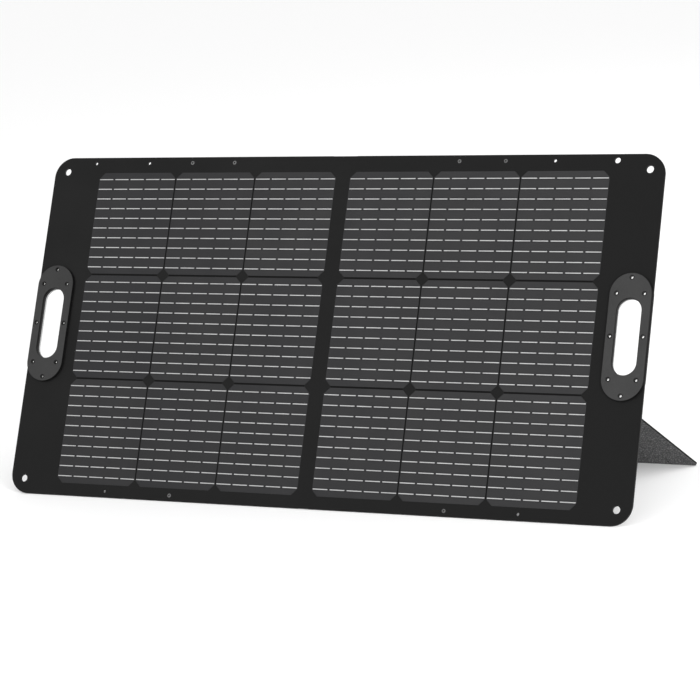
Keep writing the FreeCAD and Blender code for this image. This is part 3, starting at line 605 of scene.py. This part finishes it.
def build_gap_lines(side, sign, material):
    """Thin black strips over the gaps between the cells, upright ones and level ones."""
    shape = bmesh.new()
    tall = CELL_HEIGHT / 2 - CELL_CHAMFER
    wide = CELL_WIDTH / 2 - CELL_CHAMFER
    for row in (-1, 0, 1):
        level = CELL_MIDDLE_UP + row * CELL_PITCH_UP
        for column in (0.5, 1.5):
            across = sign * (CELL_FIRST_ACROSS + column * CELL_PITCH_ACROSS)
            add_block(shape, (across - UPRIGHT_LINE / 2, level - tall, LINE_BACK),
                      (across + UPRIGHT_LINE / 2, level + tall, LINE_FRONT))
    for row in (-0.5, 0.5):
        level = CELL_MIDDLE_UP + row * CELL_PITCH_UP
        for column in (0, 1, 2):
            across = sign * (CELL_FIRST_ACROSS + column * CELL_PITCH_ACROSS)
            add_block(shape, (across - wide, level - LEVEL_LINE / 2, LINE_BACK),
                      (across + wide, level + LEVEL_LINE / 2, LINE_FRONT))
    piece = new_piece(f"{side}_gap_lines", shape, [material])
    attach(piece, f"{side}_half")


def add_profile(shape, outline, left, right, steps):
    """A closed outline of (y, z) points drawn out along X in a number of steps."""
    rings = []
    for step in range(steps + 1):
        x = left + (right - left) * step / steps
        rings.append([shape.verts.new((x, y, z)) for y, z in outline])
    count = len(outline)
    for near, far in zip(rings, rings[1:]):
        for number in range(count):
            after = (number + 1) % count
            shape.faces.new((near[number], near[after], far[after], far[number]))
    shape.faces.new(rings[0][::-1])
    shape.faces.new(rings[-1])


def build_fold_piece(name, reach, low, high, surfaces, replaced):
    """One flexible strip across the fold; a second surface, if given, goes on its back face."""
    bottom, top = FOLD_END_INSET, 2 * HALF_PANEL_HEIGHT - FOLD_END_INSET
    shape = bmesh.new()
    add_profile(shape, [(bottom, low), (top, low), (top, high), (bottom, high)],
                -reach, reach, 36)
    if len(surfaces) == 2:
        shape.normal_update()
        for face in shape.faces:
            face.material_index = 1 if face.calc_center_median().z < low + 1e-6 else 0
    piece = new_piece(name, shape, surfaces)
    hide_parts(*replaced)
    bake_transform(piece)


def build_fold(materials):
    """The flexible skin that joins the halves, front and back in one, and the strip inside it."""
    build_fold_piece("fold_skin", FOLD_HALF_GAP, PANEL_BACK, 0.0,
                     [materials["front_sheet"], materials["back_skin"]],
                     ("fold_band_front", "fold_band_back", "fold_jumpers"))
    build_fold_piece("fold_inner_strip", FOLD_STRIP_REACH, -1.9 * MM, -1.0 * MM,
                     [materials["fold_strip"]], ("fold_strip",))


def on_flap(along, out):
    """A point (y, z) of the panel's frame, given down the flap and out of its inner face."""
    y = HINGE_UP - along * math.cos(OPENING) - out * math.sin(OPENING)
    z = HINGE_DEPTH - along * math.sin(OPENING) + out * math.cos(OPENING)
    return y, z


def arc_between(start, corner, end, steps):
    """Points between start and end of a smooth curve that bends once, towards the corner."""
    y0, z0 = start
    y1, z1 = end
    cy, cz = corner
    points = []
    for step in range(1, steps):
        t = step / steps
        points.append(((1 - t) ** 2 * y0 + 2 * t * (1 - t) * cy + t * t * y1,
                       (1 - t) ** 2 * z0 + 2 * t * (1 - t) * cz + t * t * z1))
    return points


def add_stitch(shape, place, turn, tilt=0.0):
    """One raised stitch; turn is its angle from X, tilt that of the face it lies on."""
    made = bmesh.ops.create_icosphere(shape, subdivisions=1, radius=1)
    scale = Matrix.Diagonal((STITCH_LENGTH / 2, STITCH_THICK / 2, STITCH_RISE, 1))
    turned = Matrix.Rotation(tilt, 4, "X") @ Matrix.Rotation(turn, 4, "Z")
    move = Matrix.Translation(place) @ turned @ scale
    bmesh.ops.transform(shape, matrix=move, verts=made["verts"])
    for vertex in made["verts"]:
        for face in vertex.link_faces:
            face.material_index = 1


def build_hinge_tape(side, sign, materials):
    """Woven tape bonded and stitched to the panel's back and to the flap, bent between them."""
    near, far = sorted((sign * TAPE_INNER_END, sign * TAPE_OUTER_END))
    top = HINGE_UP + TAPE_GAP + TAPE_HEIGHT
    bend = HINGE_UP + TAPE_GAP
    outer_start = (bend, PANEL_BACK - TAPE_THICK)
    inner_start = (bend, PANEL_BACK)
    outer_end = on_flap(TAPE_GAP, 0)
    inner_end = on_flap(TAPE_GAP, TAPE_THICK)
    corner_outer = (HINGE_UP + 0.6 * MM, PANEL_BACK - TAPE_THICK - 0.4 * MM)
    corner_inner = (HINGE_UP - 0.2 * MM, PANEL_BACK - 0.5 * MM)
    outline = [(top, PANEL_BACK), inner_start]
    outline += arc_between(inner_start, corner_inner, inner_end, 8)
    outline += [inner_end, on_flap(TAPE_GAP + TAPE_HEIGHT, TAPE_THICK),
                on_flap(TAPE_GAP + TAPE_HEIGHT, 0), outer_end]
    outline += arc_between(outer_start, corner_outer, outer_end, 8)[::-1]
    outline += [outer_start, (top, PANEL_BACK - TAPE_THICK)]
    shape = bmesh.new()
    add_profile(shape, outline, near, far, 20)
    count = int((far - near) / STITCH_PITCH)
    for number in range(count):
        x = near + (number + 0.5) * STITCH_PITCH
        for up in (top - SEAM_FROM_END, bend + SEAM_FROM_BEND):
            add_stitch(shape, (x, up, PANEL_BACK - TAPE_THICK), 0)
        for along in (TAPE_GAP + SEAM_FROM_BEND, TAPE_GAP + TAPE_HEIGHT - SEAM_FROM_END):
            add_stitch(shape, (x, *on_flap(along, TAPE_THICK)), 0, OPENING)
    piece = new_piece(f"{side}_hinge_tape", shape, [materials["webbing"], materials["thread"]])
    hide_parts(f"{side}_hinge_tape_panel_side", f"{side}_hinge_tape_bend",
                f"{side}_hinge_tape_stand_side")
    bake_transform(piece)


def stitch_box(shape, middle, place_at, tilt=0.0):
    """A stitched box with a cross, on a strap's patch; place_at gives a point of the patch."""
    half_wide = STRAP_WIDTH / 2 - PATCH_MARGIN
    near, far = PATCH_MARGIN, STRAP_PATCH - PATCH_MARGIN
    ends = [(-half_wide, near), (half_wide, near), (half_wide, far), (-half_wide, far)]
    runs = [(ends[number], ends[(number + 1) % 4]) for number in range(4)]
    runs += [(ends[0], ends[2]), (ends[1], ends[3])]
    for (x0, v0), (x1, v1) in runs:
        distance = math.hypot(x1 - x0, v1 - v0)
        count = int(distance / STITCH_PITCH)
        for number in range(count):
            share = (number + 0.5) / count
            x = middle + x0 + (x1 - x0) * share
            place = place_at(x, v0 + (v1 - v0) * share)
            add_stitch(shape, place, math.atan2(v0 - v1, x1 - x0), tilt)


def build_limit_strap(side, sign, materials):
    """Webbing strap in three pieces: a patch on the panel, the taut span, a patch on the flap."""
    middle = sign * STRAP_ACROSS
    left, right = middle - STRAP_WIDTH / 2, middle + STRAP_WIDTH / 2
    low = HINGE_UP - STRAP_REACH
    outer = PANEL_BACK - STRAP_THICK
    sewn = [materials["webbing"], materials["thread"]]
    shape = bmesh.new()
    add_profile(shape, [(low - STRAP_PATCH, PANEL_BACK), (low, PANEL_BACK), (low, outer),
                        (low - STRAP_PATCH, outer)], left, right, 4)
    stitch_box(shape, middle, lambda x, v: (x, low - v, outer))
    patch = new_piece(f"{side}_strap_panel_patch", shape, sewn)
    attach(patch, f"{side}_half")

    shape = bmesh.new()
    along = STRAP_REACH
    end = along + STRAP_PATCH
    add_profile(shape, [on_flap(along, 0), on_flap(end, 0), on_flap(end, STRAP_THICK),
                        on_flap(along, STRAP_THICK)], left, right, 4)
    stitch_box(shape, middle, lambda x, v: (x, *on_flap(along + v, STRAP_THICK)), OPENING)
    patch = new_piece(f"{side}_strap_flap_patch", shape, sewn)
    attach(patch, f"{side}_stand")

    shape = bmesh.new()
    start = Vector((low, PANEL_BACK - STRAP_THICK / 2))
    finish = Vector(on_flap(along, STRAP_THICK / 2))
    run = (finish - start).normalized()
    out = Vector((-run.y, run.x)) * STRAP_THICK / 2
    steps = 24
    upper, lower = [], []
    for step in range(steps + 1):
        share = step / steps
        bow = out.normalized() * STRAP_SAG * math.sin(math.pi * share)
        point = start.lerp(finish, share) + bow
        upper.append(tuple(point + out))
        lower.append(tuple(point - out))
    add_profile(shape, upper + lower[::-1], left, right, 4)
    span = new_piece(f"{side}_strap_span", shape, [materials["webbing"]])
    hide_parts(f"{side}_limit_strap")
    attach(span, f"{side}_half")
    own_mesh(span)


def build_everything():
    add_camera()
    add_studio()
    materials = make_materials()
    dress_nodes(materials)
    wire = busbar_material()
    backing = moulded("gap_backing", 0.004, 0.6, depth=0.00001, specular=0.05).material
    build_fold(materials)
    for side, sign in SIDES:
        build_busbars(side, sign, wire)
        build_gap_lines(side, sign, backing)
        build_hinge_tape(side, sign, materials)
        build_limit_strap(side, sign, materials)


build_everything()
